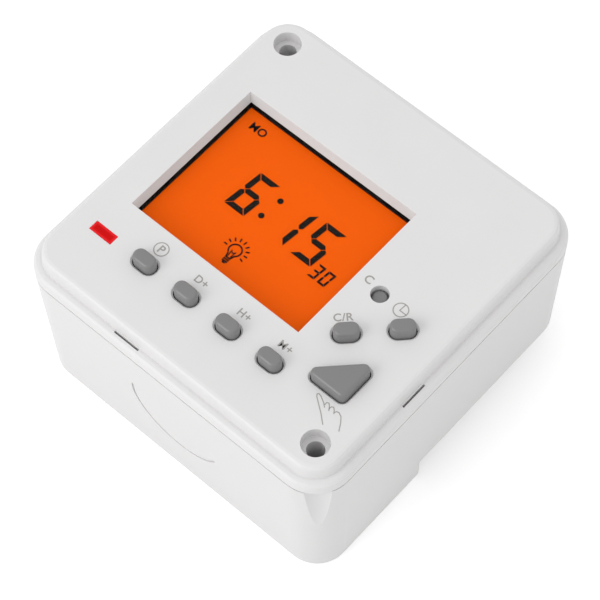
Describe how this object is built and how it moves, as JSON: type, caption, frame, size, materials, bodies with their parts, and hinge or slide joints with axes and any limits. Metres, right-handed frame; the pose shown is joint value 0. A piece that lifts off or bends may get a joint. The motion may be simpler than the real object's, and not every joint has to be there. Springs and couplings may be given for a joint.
{
  "type": "din rail timer",
  "caption": "Square electronic time switch with display and keys; its front module lifts off a rear housing that hooks on a 35 mm rail.",
  "frame": {"origin": "middle of the rear plane, under the middle of the face", "axes": "+X along the display's lines, +Y up the face towards the rail hooks, +Z out of the face"},
  "size_m": [0.06, 0.06, 0.0342],
  "materials": {
    "white_shell": "fine moulded texture",
    "case_shell": "fine moulded texture",
    "key_grey": "satin",
    "latch_grey": "satin",
    "clear_window": "clear",
    "mask_black": "matt print",
    "lcd_orange": "lit liquid crystal panel",
    "frame_white": "satin",
    "light_guide": "clear moulded",
    "contact_rubber": "matt",
    "lamp_red": "translucent",
    "led_epoxy": "translucent",
    "board_green": "solder mask",
    "switch_black": "matt",
    "plunger_white": "satin",
    "chip_black": "matt moulding",
    "bright_metal": "plated",
    "relay_blue": "moulded",
    "film_yellow": "moulded",
    "can_sleeve": "shrink sleeve",
    "disc_blue": "epoxy",
    "brass": "plated"
  },
  "bodies": {
    "housing": {"rear_housing": "case_shell", "latch_spring": "bright_metal"},
    "latch": {"rail_latch": "latch_grey"},
    "module": {"front_bezel": "white_shell", "display_window": "clear_window", "display_mask": "mask_black", "lcd_panel": "lcd_orange", "lcd_frame": "frame_white", "backlight": "light_guide", "contact_strip": "contact_rubber", "display_board": "board_green", "board_screws": "bright_metal", "tact_switches": "switch_black", "controller_chip": "chip_black", "crystal": "bright_metal", "backup_battery": "bright_metal", "board_header": "chip_black", "indicator_led": "led_epoxy", "indicator_lens": "lamp_red", "power_board": "board_green", "relay": "relay_blue", "film_capacitor": "film_yellow", "electrolytic_capacitor": "can_sleeve", "varistor": "disc_blue", "rectifier_diodes": "chip_black", "module_case": "case_shell", "case_screws": "bright_metal", "terminal_plates": "brass", "terminal_screws": "bright_metal", "wire_clamps": "bright_metal"},
    "key_program": {"button_program": "key_grey", "plunger_program": "plunger_white"},
    "key_day": {"button_day": "key_grey", "plunger_day": "plunger_white"},
    "key_hour": {"button_hour": "key_grey", "plunger_hour": "plunger_white"},
    "key_minute": {"button_minute": "key_grey", "plunger_minute": "plunger_white"},
    "key_clear": {"button_clear": "key_grey", "plunger_clear": "plunger_white"},
    "key_clock": {"button_clock": "key_grey", "plunger_clock": "plunger_white"},
    "key_reset": {"button_reset": "key_grey", "plunger_reset": "plunger_white"},
    "key_manual": {"button_manual": "key_grey", "plunger_manual": "plunger_white"}
  },
  "joints": [
    {"name": "module_lift", "type": "slide", "parent": "housing", "child": "module", "axis": [0, 0, 1], "range_m": [0, 0.03]},
    {"name": "latch_slide", "type": "slide", "parent": "housing", "child": "latch", "axis": [0, -1, 0], "range_m": [0, 0.002], "stiffness_N_per_m": 800, "springref_m": -0.002, "deforming": ["latch_spring"]},
    {"name": "program_press", "type": "slide", "parent": "module", "child": "key_program", "axis": [0, 0, -1], "range_m": [0, 0.0003], "stiffness_N_per_m": 600, "springref_m": -0.0015},
    {"name": "day_press", "type": "slide", "parent": "module", "child": "key_day", "axis": [0, 0, -1], "range_m": [0, 0.0003], "stiffness_N_per_m": 600, "springref_m": -0.0015},
    {"name": "hour_press", "type": "slide", "parent": "module", "child": "key_hour", "axis": [0, 0, -1], "range_m": [0, 0.0003], "stiffness_N_per_m": 600, "springref_m": -0.0015},
    {"name": "minute_press", "type": "slide", "parent": "module", "child": "key_minute", "axis": [0, 0, -1], "range_m": [0, 0.0003], "stiffness_N_per_m": 600, "springref_m": -0.0015},
    {"name": "clear_press", "type": "slide", "parent": "module", "child": "key_clear", "axis": [0, 0, -1], "range_m": [0, 0.0003], "stiffness_N_per_m": 600, "springref_m": -0.0015},
    {"name": "clock_press", "type": "slide", "parent": "module", "child": "key_clock", "axis": [0, 0, -1], "range_m": [0, 0.0003], "stiffness_N_per_m": 600, "springref_m": -0.0015},
    {"name": "reset_press", "type": "slide", "parent": "module", "child": "key_reset", "axis": [0, 0, -1], "range_m": [0, 0.0003], "stiffness_N_per_m": 600, "springref_m": -0.0015},
    {"name": "manual_press", "type": "slide", "parent": "module", "child": "key_manual", "axis": [0, 0, -1], "range_m": [0, 0.0003], "stiffness_N_per_m": 600, "springref_m": -0.0015}
  ]
}
